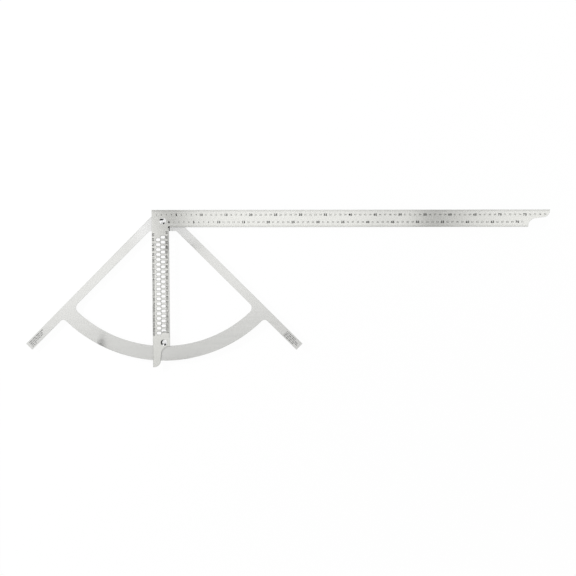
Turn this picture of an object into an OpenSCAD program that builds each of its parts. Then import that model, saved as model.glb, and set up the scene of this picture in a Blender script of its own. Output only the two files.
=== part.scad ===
/* [Square] */
// Length of the blade along its outer edge
blade_l = 800; // [500:10:1000]
// Width of the blade
blade_w = 35; // [34:1:45]
// Length of the leg along its outer edge
leg_l = 320; // [280:5:380]
// Width of the leg
leg_w = 35; // [34:1:45]
// Thickness of the square's sheet
square_t = 1.5; // [1:0.1:3]
// Distance of the pivot from both outer edges of the square
pivot_inset = 22.5; // [20:0.5:24]
// Radius of the relief hole in the inner corner
relief_r = 2; // [1:0.5:3]

/* [Ogee tips] */
// Length of the shaped tip on the blade and on the leg
tip_l = 43; // [38:1:46]
// Flat end of the tip, next to the straight edge
tip_nose = 2; // [1:0.5:4]
// Radius of the round nose after the flat end
tip_nose_r = 13.5; // [11:0.5:14]
// Depth of the tip's neck where the hollow curve starts
tip_neck = 17; // [16.5:0.1:19]
// Radius of the hollow curve that leads back to the inner edge
tip_cove_r = 16.5; // [12:0.5:17]

/* [Marking holes] */
// Width of a six-sided marking hole between its points
hole_w = 10; // [8:0.5:11.5]
// Height of a marking hole between its flats
hole_h = 6; // [5:0.5:7.5]
// Pitch of the holes along the leg, one graduation
hole_pitch = 10; // [9.5:0.5:14]
// Distance between the two columns of holes
column_gap = 9.5; // [9:0.5:12]
// First hole of the inner column, measured from the blade's inner edge
inner_first = 20; // [16:1:40]
// First hole of the outer column, measured from the blade's outer edge
outer_first = 60; // [56:1:80]
// Least distance of a hole's centre from the clamp bolt
hole_stop = 19; // [19:1:40]

/* [Protractor] */
// Thickness of the protractor's sheet
sector_t = 1.5; // [1:0.1:3]
// Length of an arm from the pivot
arm_l = 375; // [345:5:450]
// Width of an arm
arm_w = 17.5; // [14:0.5:18]
// Width of the arc
arc_w = 30; // [24:1:40]
// Distance from the pivot to the straight top of the opening
hub_drop = 20; // [16:1:40]
// Fillets where the arc meets the arms inside the opening
inner_fillet = 12; // [5:1:12]
// Fillets where the arc meets the arms outside
outer_fillet = 8; // [3:1:15]
// Fillets in the two upper corners of the opening
top_fillet = 3; // [1:1:8]

/* [Bolts] */
// Diameter of the pivot bolt and of the clamp bolt
bolt_d = 5; // [4:0.5:5.5]
// Diameter of the domed heads
head_d = 13; // [10:0.5:15]
// Height of the domed heads
head_h = 3; // [2:0.1:4]
// Straight rim under the dome
head_rim = 0.5; // [0.2:0.1:1]
// Length of bolt that stands out below its nut
bolt_out = 0.5; // [0.2:0.1:1.5]

/* [Pivot stack] */
// Wall of the bush that the protractor turns on
bush_wall = 1.4; // [1:0.1:2.5]
// Diameter of the slip washer between the two sheets
slip_d = 24; // [16:1:30]
// Thickness of the slip washer
slip_t = 0.2; // [0.1:0.05:1]
// Outer diameter of the conical spring washer
spring_d = 11; // [10:0.5:14]
// Thickness of the spring washer
spring_t = 1; // [0.6:0.1:1.5]
// Cone height left in the tightened spring washer
spring_rise = 0.3; // [0.1:0.1:0.8]
// Outer diameter of the flat washer
pivot_washer_d = 15; // [12:1:20]
// Thickness of the flat washer
pivot_washer_t = 1.2; // [0.8:0.1:2]
// Width of the lock nut across its flats
lock_nut_af = 8; // [8:0.5:11]
// Height of the lock nut with its collar
lock_nut_h = 5; // [4:0.1:8]
// Height of the round collar that holds the insert
collar_h = 1.7; // [1.2:0.1:2.5]
// Wall of the collar around the insert
collar_wall = 0.6; // [0.4:0.1:0.8]
// Lip that keeps the insert in the collar
collar_lip = 0.2; // [0.1:0.1:0.4]

/* [Clamp] */
// Distance of the clamp bolt from the leg's end
clamp_up = 50.5; // [50:0.5:70]
// Distance of the clamp bolt from the arc's inner edge
clamp_gap = 7; // [6.5:0.5:12]
// Width of the clamp plate over the arc
plate_w = 24; // [16:1:26]
// Thickness of the clamp plate
plate_t = 1.5; // [1:0.1:3]
// Margin between the clamp plate's end and the arc's outer edge
plate_margin = 8; // [2:1:10]
// Reach of the clamp plate's tongue above the bolt
tongue_l = 23.5; // [20:0.5:30]
// Width of the tongue
tongue_w = 10; // [8:0.5:14]
// Length of the heel that keeps the clamp plate level
heel_l = 13; // [11:0.5:14]
// Distance of the heel from the tongue's end
heel_setback = 1; // [0.5:0.5:2]
// Diameter of the heel's rivets
rivet_d = 2.5; // [1.5:0.5:3]
// Distance between the rivets
rivet_pitch = 6.5; // [5:0.5:7]
// Diameter of the rivet heads
rivet_head_d = 4.2; // [3.5:0.1:5]
// Height of the rivet heads
rivet_head_h = 0.7; // [0.4:0.1:0.9]
// Outer diameter of the clamp washer
clamp_washer_d = 10; // [8:0.5:14]
// Thickness of the clamp washer
clamp_washer_t = 1; // [1:0.1:2]
// Diameter of the thumb nut
thumb_nut_d = 20; // [16:1:24]
// Height of the thumb nut
thumb_nut_h = 5; // [4:0.1:8]
// Number of grooves in the thumb nut's rim
knurl_n = 36; // [24:1:48]
// Depth of the grooves
knurl_depth = 0.6; // [0.3:0.1:0.8]

/* [Clearances] */
// Gap on each side of the protractor where it slides
run_gap = 0.05; // [0.02:0.01:0.1]
// Radial clearance of the protractor on its bush and of the thumb nut on its bolt
turn_gap = 0.05; // [0.02:0.01:0.1]
// Radial clearance of bolts in plain holes
hole_gap = 0.1; // [0.05:0.01:0.3]
// Side clearance of the heel between the arms at the ends of the swing
heel_gap = 1; // [0.5:0.1:2]

/* [Hidden] */
$fn = 64;

// Overlap that makes cuts run clear of the faces that they cross
cut = 1;
// Angle of each arm from the leg's direction; the arms stand square to each other
arm_angle = 45;
// Corner angle of the marking holes
hole_angle = 60;
// Bevel on the edges of the nuts and the bolt ends
bevel = 0.4;
// Sides of the lock nut
nut_sides = 6;
// Sides of the bars that cut the thumb nut's pointed grooves
groove_sides = 4;

// Steel as it shows: bright sheet, polished heads, zinc-plated fasteners and pale nylon
sheet_colour = [0.84, 0.85, 0.83];
head_colour = [0.90, 0.90, 0.91];
zinc_colour = [0.72, 0.73, 0.74];
brass_colour = [0.80, 0.68, 0.40];
nylon_colour = [0.90, 0.90, 0.86];

// Plan of the square: the pivot is the origin, the blade runs along X and the leg along -Y
blade_end = blade_l - pivot_inset;
leg_end = leg_l - pivot_inset;
blade_inner = pivot_inset - blade_w;
leg_inner = leg_w - pivot_inset;
leg_mid = leg_inner - leg_w / 2;

// Plan of the clamp and the arc, measured from the pivot
clamp_r = leg_end - clamp_up;
arc_in = clamp_r + clamp_gap;
arc_out = arc_in + arc_w;
arm_in = pivot_inset - arm_w;

// Marking holes that fit between the blade and the clamp
inner_start = inner_first - blade_inner;
outer_start = outer_first - pivot_inset;
inner_count = floor((clamp_r - hole_stop - inner_start) / hole_pitch) + 1;
outer_count = floor((clamp_r - hole_stop - outer_start) / hole_pitch) + 1;

// Heights of the pivot stack, upwards from the foot of the pivot bolt
lock_nut_z = bolt_out;
pivot_washer_z = lock_nut_z + lock_nut_h;
spring_z = pivot_washer_z + pivot_washer_t;
bush_z = spring_z + spring_t + spring_rise;
sector_z = bush_z + run_gap;
slip_z = sector_z + sector_t + run_gap;
square_z = slip_z + slip_t;
front_z = square_z + square_t;

// Heights of the clamp stack, downwards from the protractor's back
plate_top_z = sector_z - run_gap;
plate_z = plate_top_z - plate_t;
clamp_washer_z = plate_z - clamp_washer_t;
thumb_nut_z = clamp_washer_z - thumb_nut_h;

// Bores and the pieces that fit them
bolt_hole_d = bolt_d + 2 * hole_gap;
bush_d = bolt_hole_d + 2 * bush_wall;
sector_bore_d = bush_d + 2 * turn_gap;
nut_bore_d = bolt_d + 2 * turn_gap;
insert_d = lock_nut_af - 2 * collar_wall - 2 * hole_gap;
insert_h = collar_h - collar_lip;
heel_w = 2 * (arm_in - heel_gap);
heel_top_y = tongue_l - heel_setback;
heel_h = square_z - plate_top_z - run_gap;
rivet_hole_d = rivet_d + 2 * turn_gap;

// Sheet with the outline of its children, standing on height z
module sheet(z, thickness) {
    translate([0, 0, z]) linear_extrude(height = thickness) children();
}

// Flat ring on height z
module ring(z, thickness, outer_d, inner_d) {
    translate([0, 0, z]) difference() {
        cylinder(d = outer_d, h = thickness);
        translate([0, 0, -cut]) cylinder(d = inner_d, h = thickness + 2 * cut);
    }
}

// Moves its children to the clamp bolt
module at_clamp() {
    translate([0, -clamp_r, 0]) children();
}

// Square hole for the neck of a bolt
module neck_hole() {
    square(bolt_hole_d, center = true);
}

// Six-sided marking hole with its points across the leg
module marking_hole() {
    flat = hole_w - hole_h / tan(hole_angle);
    polygon([
        [hole_w / 2, 0], [flat / 2, hole_h / 2], [-flat / 2, hole_h / 2],
        [-hole_w / 2, 0], [-flat / 2, -hole_h / 2], [flat / 2, -hole_h / 2]
    ]);
}

// One column of marking holes, downwards from its first hole
module hole_column(x, start, count) {
    for (i = [0 : count - 1]) translate([x, -start - i * hole_pitch]) marking_hole();
}

// What is cut away at a tip: X runs back from the end, Y inwards from the straight edge
module tip_cut(width) {
    cove_r = min(tip_cove_r, width - tip_neck - cut);
    cove_x = tip_l - cove_r;
    cove_y = tip_neck + cove_r;
    difference() {
        union() {
            polygon([
                [-cut, tip_nose], [tip_nose_r, tip_nose], [tip_nose_r, tip_nose + tip_nose_r],
                [cove_x, tip_neck], [cove_x, width + cut], [-cut, width + cut]
            ]);
            translate([cove_x, cove_y]) circle(r = cove_r);
            translate([cove_x - cut, cove_y]) square([cove_r + cut, width + cut - cove_y]);
        }
        translate([tip_nose_r, tip_nose]) circle(r = tip_nose_r);
    }
}

// Corner piece at p between two edges that leave it along the unit vectors a and b
module line_corner(p, a, b, r) {
    half = acos(a * b) / 2;
    bisector = (a + b) / norm(a + b);
    centre = p + bisector * r / sin(half);
    reach = r / tan(half);
    difference() {
        polygon([centre, p + a * reach - bisector, p - bisector, p + b * reach - bisector]);
        translate(centre) circle(r = r);
    }
}

// Corner piece between an arm's inner edge and the arc's edge of radius arc_r, with the arm along X.
// side is -1 for the corner inside the opening and 1 for the corner outside the arc.
module arc_corner(arc_r, r, side) {
    centre_y = arm_in - r;
    centre_r = arc_r + side * r;
    centre = [sqrt(centre_r * centre_r - centre_y * centre_y), centre_y];
    corner_x = sqrt(arc_r * arc_r - arm_in * arm_in);
    arc_side = centre * (arc_r - side * cut) / centre_r;
    difference() {
        polygon([centre, [centre[0], arm_in + cut], [corner_x - side * cut, arm_in + cut], arc_side]);
        translate(centre) circle(r = r);
    }
}

// Repeats its children on both arms, each lying along X with its outer edge away from the other arm
module on_arms() {
    for (side = [0, 1]) mirror([side, 0]) rotate(-arm_angle) children();
}

// Wedge between two lines that run beside the arms at the given offset, from top_y down to bottom_y
module wedge(offset_y, top_y, bottom_y) {
    apex = offset_y / cos(arm_angle);
    top_x = (apex - top_y) * tan(arm_angle);
    bottom_x = (apex - bottom_y) * tan(arm_angle);
    polygon([[top_x, top_y], [bottom_x, bottom_y], [-bottom_x, bottom_y], [-top_x, top_y]]);
}

// Opening between the arms: straight at the top, round at the bottom, with filleted corners
module sector_opening() {
    corner = [(arm_in / cos(arm_angle) + hub_drop) * tan(arm_angle), -hub_drop];
    difference() {
        intersection() {
            circle(r = arc_in);
            wedge(arm_in, -hub_drop, -arc_in - cut);
        }
        on_arms() arc_corner(arc_in, inner_fillet, -1);
        for (side = [0, 1]) mirror([side, 0])
            line_corner(corner, [-1, 0], [sin(arm_angle), -cos(arm_angle)], top_fillet);
    }
}

// What is cut away between the arms below the arc
module below_arc() {
    difference() {
        wedge(arm_in, -arc_in / 2, -arm_l - cut);
        circle(r = arc_out);
        on_arms() arc_corner(arc_out, outer_fillet, 1);
    }
}

// Point of an arm, along it from the pivot and out from the line that it runs beside;
// side is 1 on the right and -1 on the left
function arm_point(along, out, side) = [
    side * (along * sin(arm_angle) + out * cos(arm_angle)),
    out * sin(arm_angle) - along * cos(arm_angle)
];

// Outline of the protractor: round hub, two arms and the arc between them
module sector_outline() {
    apex = [0, pivot_inset / sin(arm_angle)];
    right = [sin(arm_angle), -cos(arm_angle)];
    left = [-sin(arm_angle), -cos(arm_angle)];
    foot = arm_point(arm_l, arm_in, 1)[0];
    difference() {
        polygon([
            apex, arm_point(arm_l, pivot_inset, 1), arm_point(arm_l, arm_in, 1), [foot, -arm_l],
            [-foot, -arm_l], arm_point(arm_l, arm_in, -1), arm_point(arm_l, pivot_inset, -1)
        ]);
        line_corner(apex, right, left, pivot_inset);
        below_arc();
        sector_opening();
        circle(d = sector_bore_d);
    }
}

// Bolt with a domed head on the square's face, a square neck in the sheet and a plain shank down to end_z
module cup_bolt(end_z) {
    dome_h = head_h - head_rim;
    dome_r = (head_d * head_d / 4 + dome_h * dome_h) / (2 * dome_h);
    translate([0, 0, front_z]) cylinder(d = head_d, h = head_rim);
    translate([0, 0, front_z + head_rim]) intersection() {
        cylinder(d = head_d, h = dome_h);
        translate([0, 0, dome_h - dome_r]) sphere(r = dome_r);
    }
    translate([-bolt_d / 2, -bolt_d / 2, square_z]) cube([bolt_d, bolt_d, square_t]);
    translate([0, 0, end_z + bevel]) cylinder(d = bolt_d, h = front_z - end_z - bevel);
    translate([0, 0, end_z]) cylinder(d1 = bolt_d - 2 * bevel, d2 = bolt_d, h = bevel);
}

// The square: blade and leg cut from one sheet, with shaped tips and marking holes
module square_sheet() {
    color(sheet_colour) sheet(square_z, square_t) difference() {
        translate([-pivot_inset, -leg_end]) square([blade_l, leg_l]);
        translate([leg_inner, -leg_end - cut]) square([blade_l, leg_end + blade_inner + cut]);
        translate([leg_inner, blade_inner]) circle(r = relief_r);
        translate([blade_end, pivot_inset]) rotate(180) tip_cut(blade_w);
        translate([-pivot_inset, -leg_end]) mirror([1, -1]) tip_cut(leg_w);
        hole_column(leg_mid + column_gap / 2, inner_start, inner_count);
        hole_column(leg_mid - column_gap / 2, outer_start, outer_count);
        neck_hole();
        translate([0, -clamp_r]) neck_hole();
    }
}

// The protractor: one sheet that turns on the bush behind the square
module protractor_sheet() {
    color(sheet_colour) sheet(sector_z, sector_t) sector_outline();
}

module pivot_bolt() {
    color(head_colour) cup_bolt(0);
}

// Sleeve that the protractor turns on, a little longer than the sheet is thick
module pivot_bush() {
    color(brass_colour) ring(bush_z, slip_z - bush_z, bush_d, bolt_hole_d);
}

module slip_washer() {
    color(nylon_colour) ring(slip_z, slip_t, slip_d, bolt_hole_d);
}

// Conical washer: its inner edge carries the bush and its rim stands on the flat washer
module spring_washer() {
    inner = bolt_hole_d / 2;
    outer = spring_d / 2;
    color(zinc_colour) translate([0, 0, spring_z]) rotate_extrude() polygon([
        [inner, spring_rise], [outer, 0], [outer, spring_t], [inner, spring_t + spring_rise]
    ]);
}

module pivot_washer() {
    color(zinc_colour) ring(pivot_washer_z, pivot_washer_t, pivot_washer_d, bolt_hole_d);
}

// Six-sided nut with a round collar below that holds the nylon insert
module lock_nut() {
    collar_d = lock_nut_af - 2 * hole_gap;
    point_d = lock_nut_af / cos(180 / nut_sides);
    color(zinc_colour) translate([0, 0, lock_nut_z]) difference() {
        union() {
            cylinder(d = collar_d, h = collar_h);
            translate([0, 0, collar_h]) intersection() {
                cylinder(d = point_d, h = lock_nut_h - collar_h, $fn = nut_sides);
                union() {
                    cylinder(d1 = point_d - 2 * bevel, d2 = point_d, h = bevel);
                    translate([0, 0, bevel]) cylinder(d = point_d, h = lock_nut_h - collar_h - bevel);
                }
            }
        }
        translate([0, 0, collar_h - cut]) cylinder(d = nut_bore_d, h = lock_nut_h);
        translate([0, 0, collar_lip]) cylinder(d = insert_d, h = insert_h);
        translate([0, 0, -cut]) cylinder(d = insert_d - 2 * bevel, h = collar_h);
    }
}

module lock_nut_insert() {
    color(nylon_colour) ring(lock_nut_z + collar_lip, insert_h, insert_d, nut_bore_d);
}

module clamp_bolt() {
    color(head_colour) at_clamp() cup_bolt(thumb_nut_z - bolt_out);
}

// Centres of the heel's rivets, above the clamp bolt
module at_rivets() {
    middle = heel_top_y - heel_l / 2;
    for (side = [-1, 1]) translate([0, middle + side * rivet_pitch / 2]) children();
}

// Strap behind the arc, with a narrow tongue that carries the heel
module clamp_plate() {
    round_end = arc_out - plate_margin - plate_w / 2 - clamp_r;
    color(sheet_colour) at_clamp() sheet(plate_z, plate_t) difference() {
        union() {
            circle(d = plate_w);
            translate([0, -round_end]) circle(d = plate_w);
            translate([-plate_w / 2, -round_end]) square([plate_w, round_end]);
            translate([-tongue_w / 2, 0]) square([tongue_w, tongue_l - tongue_w / 2]);
            translate([0, tongue_l - tongue_w / 2]) circle(d = tongue_w);
        }
        circle(d = bolt_hole_d);
        at_rivets() circle(d = rivet_hole_d);
    }
}

// Packing piece as high as the arc's sheet and its gaps, between the tongue and the square
module clamp_heel() {
    color(sheet_colour) at_clamp() sheet(plate_top_z, heel_h) difference() {
        union() {
            translate([-heel_w / 2, heel_top_y - heel_l]) square([heel_w, heel_l - heel_w / 2]);
            translate([0, heel_top_y - heel_w / 2]) circle(d = heel_w);
        }
        at_rivets() circle(d = rivet_hole_d);
    }
}

// Rivets through the tongue and the heel, flush in front and headed behind
module heel_rivets() {
    color(zinc_colour) at_clamp() at_rivets() {
        translate([0, 0, plate_z]) cylinder(d = rivet_d, h = plate_t + heel_h);
        translate([0, 0, plate_z - rivet_head_h]) cylinder(d1 = rivet_d, d2 = rivet_head_d, h = rivet_head_h);
    }
}

module clamp_washer() {
    color(zinc_colour) at_clamp() ring(clamp_washer_z, clamp_washer_t, clamp_washer_d, bolt_hole_d);
}

// Low round nut with a grooved rim, turned by finger and thumb
module thumb_nut() {
    face_d = thumb_nut_d - 2 * bevel;
    color(zinc_colour) at_clamp() translate([0, 0, thumb_nut_z]) difference() {
        union() {
            cylinder(d1 = face_d, d2 = thumb_nut_d, h = bevel);
            translate([0, 0, bevel]) cylinder(d = thumb_nut_d, h = thumb_nut_h - 2 * bevel);
            translate([0, 0, thumb_nut_h - bevel]) cylinder(d1 = thumb_nut_d, d2 = face_d, h = bevel);
        }
        translate([0, 0, -cut]) cylinder(d = nut_bore_d, h = thumb_nut_h + 2 * cut);
        for (i = [0 : knurl_n - 1]) rotate(i * 360 / knurl_n) translate([thumb_nut_d / 2, 0, -cut])
            cylinder(r = knurl_depth, h = thumb_nut_h + 2 * cut, $fn = groove_sides);
    }
}

square_sheet();
protractor_sheet();
pivot_bolt();
pivot_bush();
slip_washer();
spring_washer();
pivot_washer();
lock_nut();
lock_nut_insert();
clamp_bolt();
clamp_plate();
clamp_heel();
heel_rivets();
clamp_washer();
thumb_nut();
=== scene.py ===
"""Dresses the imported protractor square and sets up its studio.

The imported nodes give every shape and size. This script rolls the edges of the two sheets and brushes them,
marks the scales on them, polishes the bolt heads, plates the fasteners and lights the whole.
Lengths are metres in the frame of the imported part: the pivot is the origin, the blade runs along +X, the
leg along -Y, and the scaled faces look towards +Z.
"""

from __future__ import annotations

import logging
import math
from collections.abc import Callable
from dataclasses import dataclass
from enum import Enum

import bmesh
import bpy
from mathutils import Matrix, Vector

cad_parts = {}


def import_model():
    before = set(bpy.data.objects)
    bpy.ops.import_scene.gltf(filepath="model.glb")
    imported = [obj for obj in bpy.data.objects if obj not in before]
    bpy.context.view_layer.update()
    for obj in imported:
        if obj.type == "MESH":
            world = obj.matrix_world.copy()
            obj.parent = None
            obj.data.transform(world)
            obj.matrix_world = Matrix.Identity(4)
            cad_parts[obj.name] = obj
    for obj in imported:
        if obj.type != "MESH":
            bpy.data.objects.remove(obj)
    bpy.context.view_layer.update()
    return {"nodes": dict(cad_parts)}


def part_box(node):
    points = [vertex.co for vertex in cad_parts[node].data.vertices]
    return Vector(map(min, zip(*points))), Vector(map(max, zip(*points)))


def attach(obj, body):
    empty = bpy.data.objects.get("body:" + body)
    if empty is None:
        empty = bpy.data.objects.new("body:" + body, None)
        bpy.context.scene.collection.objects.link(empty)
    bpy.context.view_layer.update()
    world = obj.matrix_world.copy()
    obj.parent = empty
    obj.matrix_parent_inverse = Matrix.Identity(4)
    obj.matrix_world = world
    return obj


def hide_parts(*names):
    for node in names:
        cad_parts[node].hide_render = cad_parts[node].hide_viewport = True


MM = 0.001
CM = 0.01
IMAGE_PIXELS = 576
MARK_THICKNESS = 0.04 * MM
SHEET_WELD = 0.001 * MM
SHEET_FLAT_DEG = 0.5
LOG = logging.getLogger("protractor_square")

Colour = tuple[float, float, float]
Pair = tuple[float, float]
Triple = tuple[float, float, float]
Solid = tuple[list[Vector], list[tuple[int, ...]]]


class Weight(Enum):
    """Stroke weight of the numbers: how far each outline is swelled, as a share of the type size."""

    THIN = 0.006
    MEDIUM = 0.03
    BOLD = 0.06


class Face(Enum):
    """Side of a sheet that carries a marking; the value is the turn about Y that faces it, in degrees."""

    FRONT = 0.0
    REAR = 180.0


class Arm(Enum):
    """Arm of the protractor; the value is the sign of X on its side of the leg."""

    LEFT = -1
    RIGHT = 1


class Axis(Enum):
    """Axis of the frame that a studio card stands across; the value is its number."""

    X = 0
    Y = 1


class Nodes:
    """Adds, sets and links the nodes of one tree."""

    def __init__(self, tree: bpy.types.NodeTree) -> None:
        """Keeps the tree that the nodes go into."""
        self.tree = tree

    def add(self, kind: str, inputs: dict | None = None, **settings: object) -> bpy.types.Node:
        """Adds a node.

        Args:
            kind: Blender's name of the node type.
            inputs: Values or sockets for the node's inputs, by name or number.
            settings: Attributes of the node itself.

        Returns:
            The new node.
        """
        node = self.tree.nodes.new(kind)
        for name, value in settings.items():
            setattr(node, name, value)
        for key, value in (inputs or {}).items():
            if isinstance(value, bpy.types.NodeSocket):
                self.tree.links.new(value, node.inputs[key])
            else:
                node.inputs[key].default_value = value
        return node

    def math(self, operation: str, *values: object) -> bpy.types.NodeSocket:
        """Adds a math node.

        Args:
            operation: Name of the operation.
            values: Numbers or sockets, in the order of the node's inputs.

        Returns:
            The node's result.
        """
        return self.add("ShaderNodeMath", dict(enumerate(values)), operation=operation).outputs[0]

    def remap(self, value: bpy.types.NodeSocket, low: float, high: float, to_low: float,
              to_high: float) -> bpy.types.NodeSocket:
        """Maps a value from one range to another and holds it there.

        Args:
            value: Socket to map.
            low: Start of the range that it comes from.
            high: End of that range.
            to_low: Result at the start.
            to_high: Result at the end.

        Returns:
            The mapped value.
        """
        inputs = {0: value, 1: low, 2: high, 3: to_low, 4: to_high}
        return self.add("ShaderNodeMapRange", inputs, interpolation_type="SMOOTHSTEP").outputs[0]

    def mix(self, share: bpy.types.NodeSocket, first: object, second: object) -> bpy.types.NodeSocket:
        """Mixes two colours.

        Args:
            share: Share of the second colour.
            first: Socket or value of the first colour.
            second: Socket or value of the second colour.

        Returns:
            The mixed colour.
        """
        return self.add("ShaderNodeMix", {0: share, 6: first, 7: second}, data_type="RGBA").outputs[2]

    def group(self, tree: bpy.types.ShaderNodeTree, inputs: dict) -> bpy.types.NodeSocket:
        """Places a shared group with the given inputs and returns its first output."""
        return self.add("ShaderNodeGroup", inputs, node_tree=tree).outputs[0]


class Groups:
    """Shader node groups that several finishes share, each built once."""

    _made: dict[str, bpy.types.ShaderNodeTree] = {}

    @classmethod
    def brushed_grain(cls) -> bpy.types.ShaderNodeTree:
        """Returns the group that makes fine and broad streaks along X."""
        return cls._once("brushed_grain", ("Length", "Width"), ("Tone",), cls._fill_grain)

    @classmethod
    def handling(cls) -> bpy.types.ShaderNodeTree:
        """Returns the group that makes the soft patches that hands leave on a surface."""
        return cls._once("handling", ("Size", "Amount"), ("Shift",), cls._fill_handling)

    @classmethod
    def _once(cls, name: str, inputs: tuple[str, ...], outputs: tuple[str, ...],
              fill: Callable[[Nodes, bpy.types.Node, bpy.types.Node], None]) -> bpy.types.ShaderNodeTree:
        """Builds a group the first time it is asked for.

        Args:
            name: Name of the group.
            inputs: Names of its number inputs, after the Vector input.
            outputs: Names of its number outputs.
            fill: Method that adds the nodes.

        Returns:
            The group.
        """
        if name not in cls._made:
            tree = bpy.data.node_groups.new(name, "ShaderNodeTree")
            tree.interface.new_socket(name="Vector", in_out="INPUT", socket_type="NodeSocketVector")
            for label in inputs:
                tree.interface.new_socket(name=label, in_out="INPUT", socket_type="NodeSocketFloat")
            for label in outputs:
                tree.interface.new_socket(name=label, in_out="OUTPUT", socket_type="NodeSocketFloat")
            nodes = Nodes(tree)
            fill(nodes, nodes.add("NodeGroupInput"), nodes.add("NodeGroupOutput"))
            cls._made[name] = tree
        return cls._made[name]

    @staticmethod
    def _fill_grain(nodes: Nodes, start: bpy.types.Node, end: bpy.types.Node) -> None:
        """Adds the streaks: fine ones of the given size, and broad ones eight times as large.

        Args:
            nodes: Nodes of the group.
            start: The group's inputs.
            end: The group's outputs.
        """
        along = nodes.math("DIVIDE", 1.0, start.outputs["Length"])
        across = nodes.math("DIVIDE", 1.0, start.outputs["Width"])
        pitch = nodes.add("ShaderNodeCombineXYZ", {0: along, 1: across, 2: across}).outputs[0]
        fine_inputs = {0: start.outputs["Vector"], 1: pitch}
        fine_place = nodes.add("ShaderNodeVectorMath", fine_inputs, operation="MULTIPLY").outputs[0]
        broad_inputs = {0: fine_place, "Scale": 1 / 8}
        broad_place = nodes.add("ShaderNodeVectorMath", broad_inputs, operation="SCALE").outputs["Vector"]
        fine_noise = {"Vector": fine_place, "Scale": 1.0, "Detail": 3.0, "Roughness": 0.6}
        broad_noise = {"Vector": broad_place, "Scale": 1.0, "Detail": 2.0, "Roughness": 0.5}
        fine = nodes.add("ShaderNodeTexNoise", fine_noise).outputs[0]
        broad = nodes.add("ShaderNodeTexNoise", broad_noise).outputs[0]
        tone = nodes.math("MULTIPLY", nodes.math("ADD", fine, broad), 0.5)
        nodes.tree.links.new(tone, end.inputs["Tone"])

    @staticmethod
    def _fill_handling(nodes: Nodes, start: bpy.types.Node, end: bpy.types.Node) -> None:
        """Adds the patches: noise about zero, times the amount.

        Args:
            nodes: Nodes of the group.
            start: The group's inputs.
            end: The group's outputs.
        """
        pitch = nodes.math("DIVIDE", 1.0, start.outputs["Size"])
        place_inputs = {0: start.outputs["Vector"], "Scale": pitch}
        place = nodes.add("ShaderNodeVectorMath", place_inputs, operation="SCALE").outputs["Vector"]
        noise_inputs = {"Vector": place, "Scale": 1.0, "Detail": 4.0, "Roughness": 0.55}
        noise = nodes.add("ShaderNodeTexNoise", noise_inputs).outputs[0]
        centred = nodes.math("SUBTRACT", noise, 0.5)
        shift = nodes.math("MULTIPLY", centred, start.outputs["Amount"])
        nodes.tree.links.new(shift, end.inputs["Shift"])


@dataclass(frozen=True)
class BrushedSteel:
    """Steel brushed along X: streaks in its tone, gloss and relief, and highlights drawn out across them.

    It may be painted brighter round the pivot, a painted sheen: fully in the core, a share of the reach, and
    not at all beyond it.
    """

    name: str
    dark: Colour
    light: Colour
    roughness: float
    anisotropy: float
    streak_length: float = 60 * MM
    streak_width: float = 0.7 * MM
    streak_tones: Pair = (0.3, 0.7)
    gloss_swing: float = 0.04
    relief: float = 0.004 * MM
    relief_strength: float = 0.35
    patch_size: float = 70 * MM
    patch_amount: float = 0.08
    metallic: float = 0.8
    worn: Colour = (0.93, 0.93, 0.92)
    worn_reach: float = 0.0
    worn_core: float = 0.35

    def worn_bright(self, nodes: Nodes, place: bpy.types.NodeSocket,
                    colour: bpy.types.NodeSocket) -> bpy.types.NodeSocket:
        """Paints a brighter sheen on the steel round the pivot.

        Args:
            nodes: Nodes of the material.
            place: Object coordinates.
            colour: Colour of the steel elsewhere.

        Returns:
            The colour with the painted sheen.
        """
        flat_inputs = {0: place, 1: (1.0, 1.0, 0.0)}
        flat = nodes.add("ShaderNodeVectorMath", flat_inputs, operation="MULTIPLY").outputs[0]
        reach = nodes.add("ShaderNodeVectorMath", {0: flat}, operation="LENGTH").outputs["Value"]
        share = nodes.remap(reach, self.worn_core * self.worn_reach, self.worn_reach, 1.0, 0.0)
        return nodes.mix(share, colour, (*self.worn, 1.0))

    def material(self) -> bpy.types.Material:
        """Makes the finish.

        Returns:
            A new material.
        """
        material, nodes, shader, place = start_material(self.name)
        grain_inputs = {"Vector": place, "Length": self.streak_length, "Width": self.streak_width}
        tone = nodes.group(Groups.brushed_grain(), grain_inputs)
        patch_inputs = {"Vector": place, "Size": self.patch_size, "Amount": self.patch_amount}
        shift = nodes.group(Groups.handling(), patch_inputs)
        colour = nodes.mix(tone, (*self.dark, 1.0), (*self.light, 1.0))
        # Painted sheen: lighter steel round the pivot.
        if self.worn_reach > 0:
            colour = self.worn_bright(nodes, place, colour)
        glossy, dull = self.roughness - self.gloss_swing, self.roughness + self.gloss_swing
        swing = nodes.remap(tone, *self.streak_tones, glossy, dull)
        rough = nodes.math("ADD", swing, shift)
        bump_inputs = {"Strength": self.relief_strength, "Distance": self.relief, "Height": tone}
        bump = nodes.add("ShaderNodeBump", bump_inputs).outputs[0]
        tangent = nodes.add("ShaderNodeTangent", direction_type="RADIAL", axis="X").outputs[0]
        shader.inputs["Metallic"].default_value = self.metallic
        shader.inputs["Anisotropic"].default_value = self.anisotropy
        results = {"Base Color": colour, "Roughness": rough, "Normal": bump, "Tangent": tangent}
        for socket, value in results.items():
            nodes.tree.links.new(value, shader.inputs[socket])
        return material


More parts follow.
